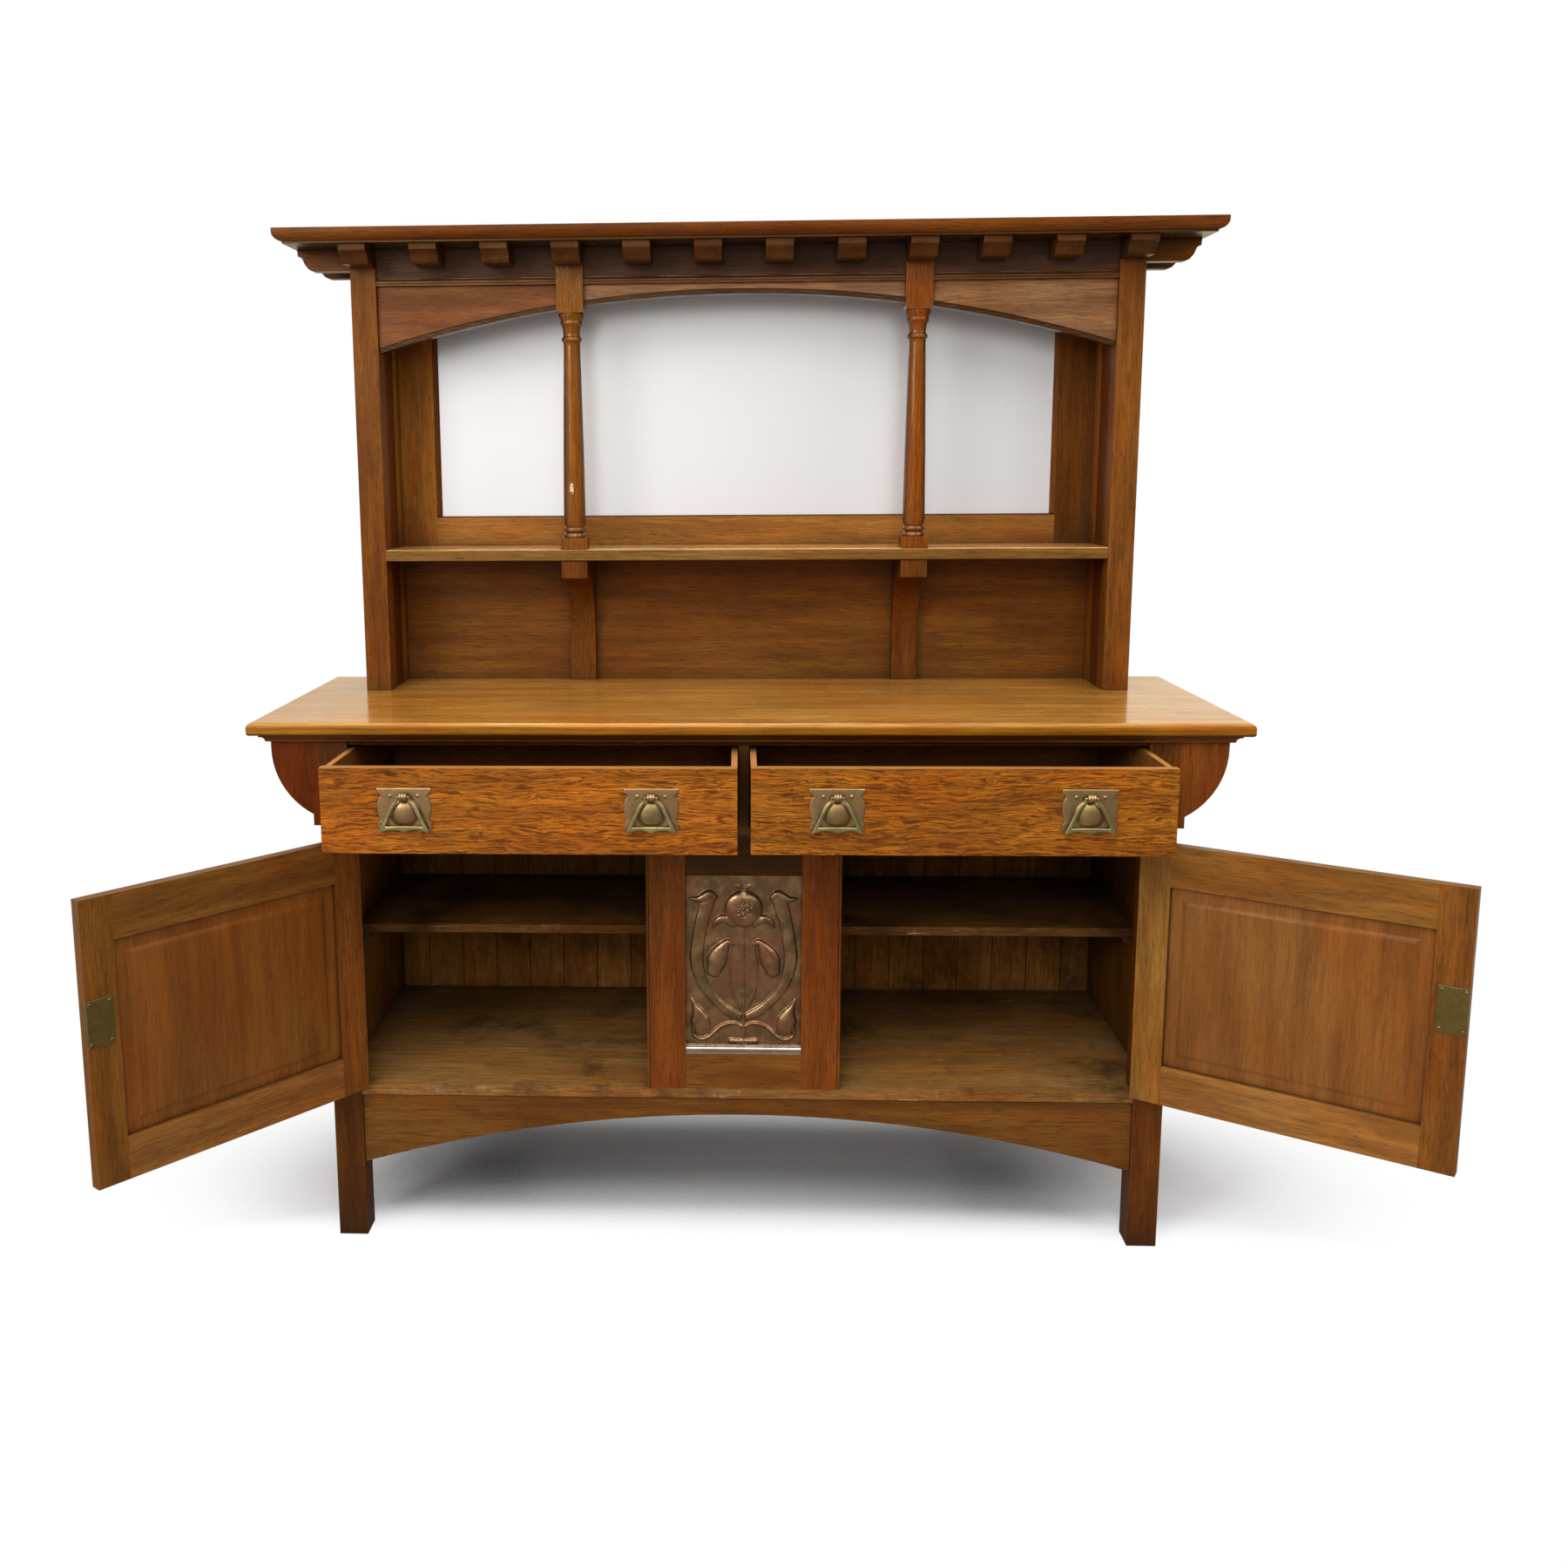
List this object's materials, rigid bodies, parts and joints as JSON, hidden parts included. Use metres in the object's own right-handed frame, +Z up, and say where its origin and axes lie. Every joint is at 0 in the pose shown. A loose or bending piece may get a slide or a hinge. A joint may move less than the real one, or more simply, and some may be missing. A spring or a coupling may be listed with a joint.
{
  "type": "mirror-back sideboard",
  "caption": "Oak sideboard with drawers and cupboards under a mirrored back with turned columns, an arched frieze and a cornice on modillion blocks.",
  "frame": {"origin": "on the floor, under the middle of the object's box as it stands with its doors and drawers open", "axes": "+X along the front to the right, +Y from the front to the wall, +Z up"},
  "size_m": [2.0801, 0.9571, 1.784],
  "materials": {
    "oak": "satin",
    "oak_polished": "gloss",
    "oak_figured": "satin",
    "oak_panel": "satin",
    "oak_inner": "matt",
    "copper": "antique patina",
    "brass": "antique",
    "mirror": "silvered"
  },
  "bodies": {
    "carcass": {"base_top": "oak_polished", "under_moulding": "oak", "side_brackets": "oak", "front_legs": "oak", "rear_legs": "oak", "side_panels": "oak_inner", "front_rails": "oak", "drawer_runners": "oak_inner", "drawer_guides": "oak_inner", "partitions": "oak_inner", "floor_board": "oak_inner", "apron": "oak", "lower_rails": "oak_inner", "inner_shelves": "oak_inner", "shelf_bearers": "oak_inner", "back_boards": "oak_inner", "centre_frame": "oak", "panel_backing": "oak_inner", "copper_panel": "copper", "panel_bead": "copper", "frame_hinges": "brass", "niche_back": "oak_inner", "upper_posts": "oak", "rear_posts": "oak", "upper_sides": "oak", "upper_shelf": "oak_polished", "shelf_brackets": "oak", "columns": "oak", "mirror_frame": "oak", "mirror_bead": "oak", "mirror_glass": "mirror", "mirror_back": "oak_inner", "frieze": "oak", "arch_moulding": "oak", "bed_mould": "oak", "fascia": "oak", "side_consoles": "oak", "modillions": "oak", "soffit_board": "oak_polished", "cornice_board": "oak"},
    "drawer_left": {"drawer_left_front": "oak_figured", "drawer_left_box": "oak_inner", "drawer_left_bottom": "oak_inner", "drawer_left_plates": "brass"},
    "bail_left_a": {"bail_left_a": "brass"},
    "bail_left_b": {"bail_left_b": "brass"},
    "door_left": {"door_left_frame": "oak", "door_left_panel": "oak_panel", "door_left_metal": "brass"},
    "bolt_left": {"door_left_bolt": "brass"},
    "drawer_right": {"drawer_right_front": "oak_figured", "drawer_right_box": "oak_inner", "drawer_right_bottom": "oak_inner", "drawer_right_plates": "brass"},
    "bail_right_a": {"bail_right_a": "brass"},
    "bail_right_b": {"bail_right_b": "brass"},
    "door_right": {"door_right_frame": "oak", "door_right_panel": "oak_panel", "door_right_metal": "brass"},
    "bolt_right": {"door_right_bolt": "brass"}
  },
  "joints": [
    {"name": "door_left_hinge", "type": "hinge", "parent": "carcass", "child": "door_left", "pos_m": [-0.72425, -0.0724, 0.5135], "axis": [0, 0, -1], "range_deg": [-129, 38]},
    {"name": "door_right_hinge", "type": "hinge", "parent": "carcass", "child": "door_right", "pos_m": [0.62425, -0.0724, 0.5135], "axis": [0, 0, 1], "range_deg": [-146, 21]},
    {"name": "drawer_left_slide", "type": "slide", "parent": "carcass", "child": "drawer_left", "axis": [0, -1, 0], "range_m": [-0.185, 0.15]},
    {"name": "drawer_right_slide", "type": "slide", "parent": "carcass", "child": "drawer_right", "axis": [0, -1, 0], "range_m": [-0.182, 0.153]},
    {"name": "bolt_left_slide", "type": "slide", "parent": "door_left", "child": "bolt_left", "axis": [-0.6293, -0.7771, 0], "range_m": [0, 0.009]},
    {"name": "bolt_right_slide", "type": "slide", "parent": "door_right", "child": "bolt_right", "axis": [0.829, -0.5592, 0], "range_m": [0, 0.009]},
    {"name": "bail_left_a_hinge", "type": "hinge", "parent": "drawer_left", "child": "bail_left_a", "pos_m": [-0.588, -0.2636, 0.849], "axis": [-1, 0, 0], "range_deg": [-2, 95]},
    {"name": "bail_left_b_hinge", "type": "hinge", "parent": "drawer_left", "child": "bail_left_b", "pos_m": [-0.196, -0.2636, 0.849], "axis": [-1, 0, 0], "range_deg": [-2, 95]},
    {"name": "bail_right_a_hinge", "type": "hinge", "parent": "drawer_right", "child": "bail_right_a", "pos_m": [0.096, -0.2606, 0.849], "axis": [-1, 0, 0], "range_deg": [-2, 95]},
    {"name": "bail_right_b_hinge", "type": "hinge", "parent": "drawer_right", "child": "bail_right_b", "pos_m": [0.488, -0.2606, 0.849], "axis": [-1, 0, 0], "range_deg": [-2, 95]}
  ]
}
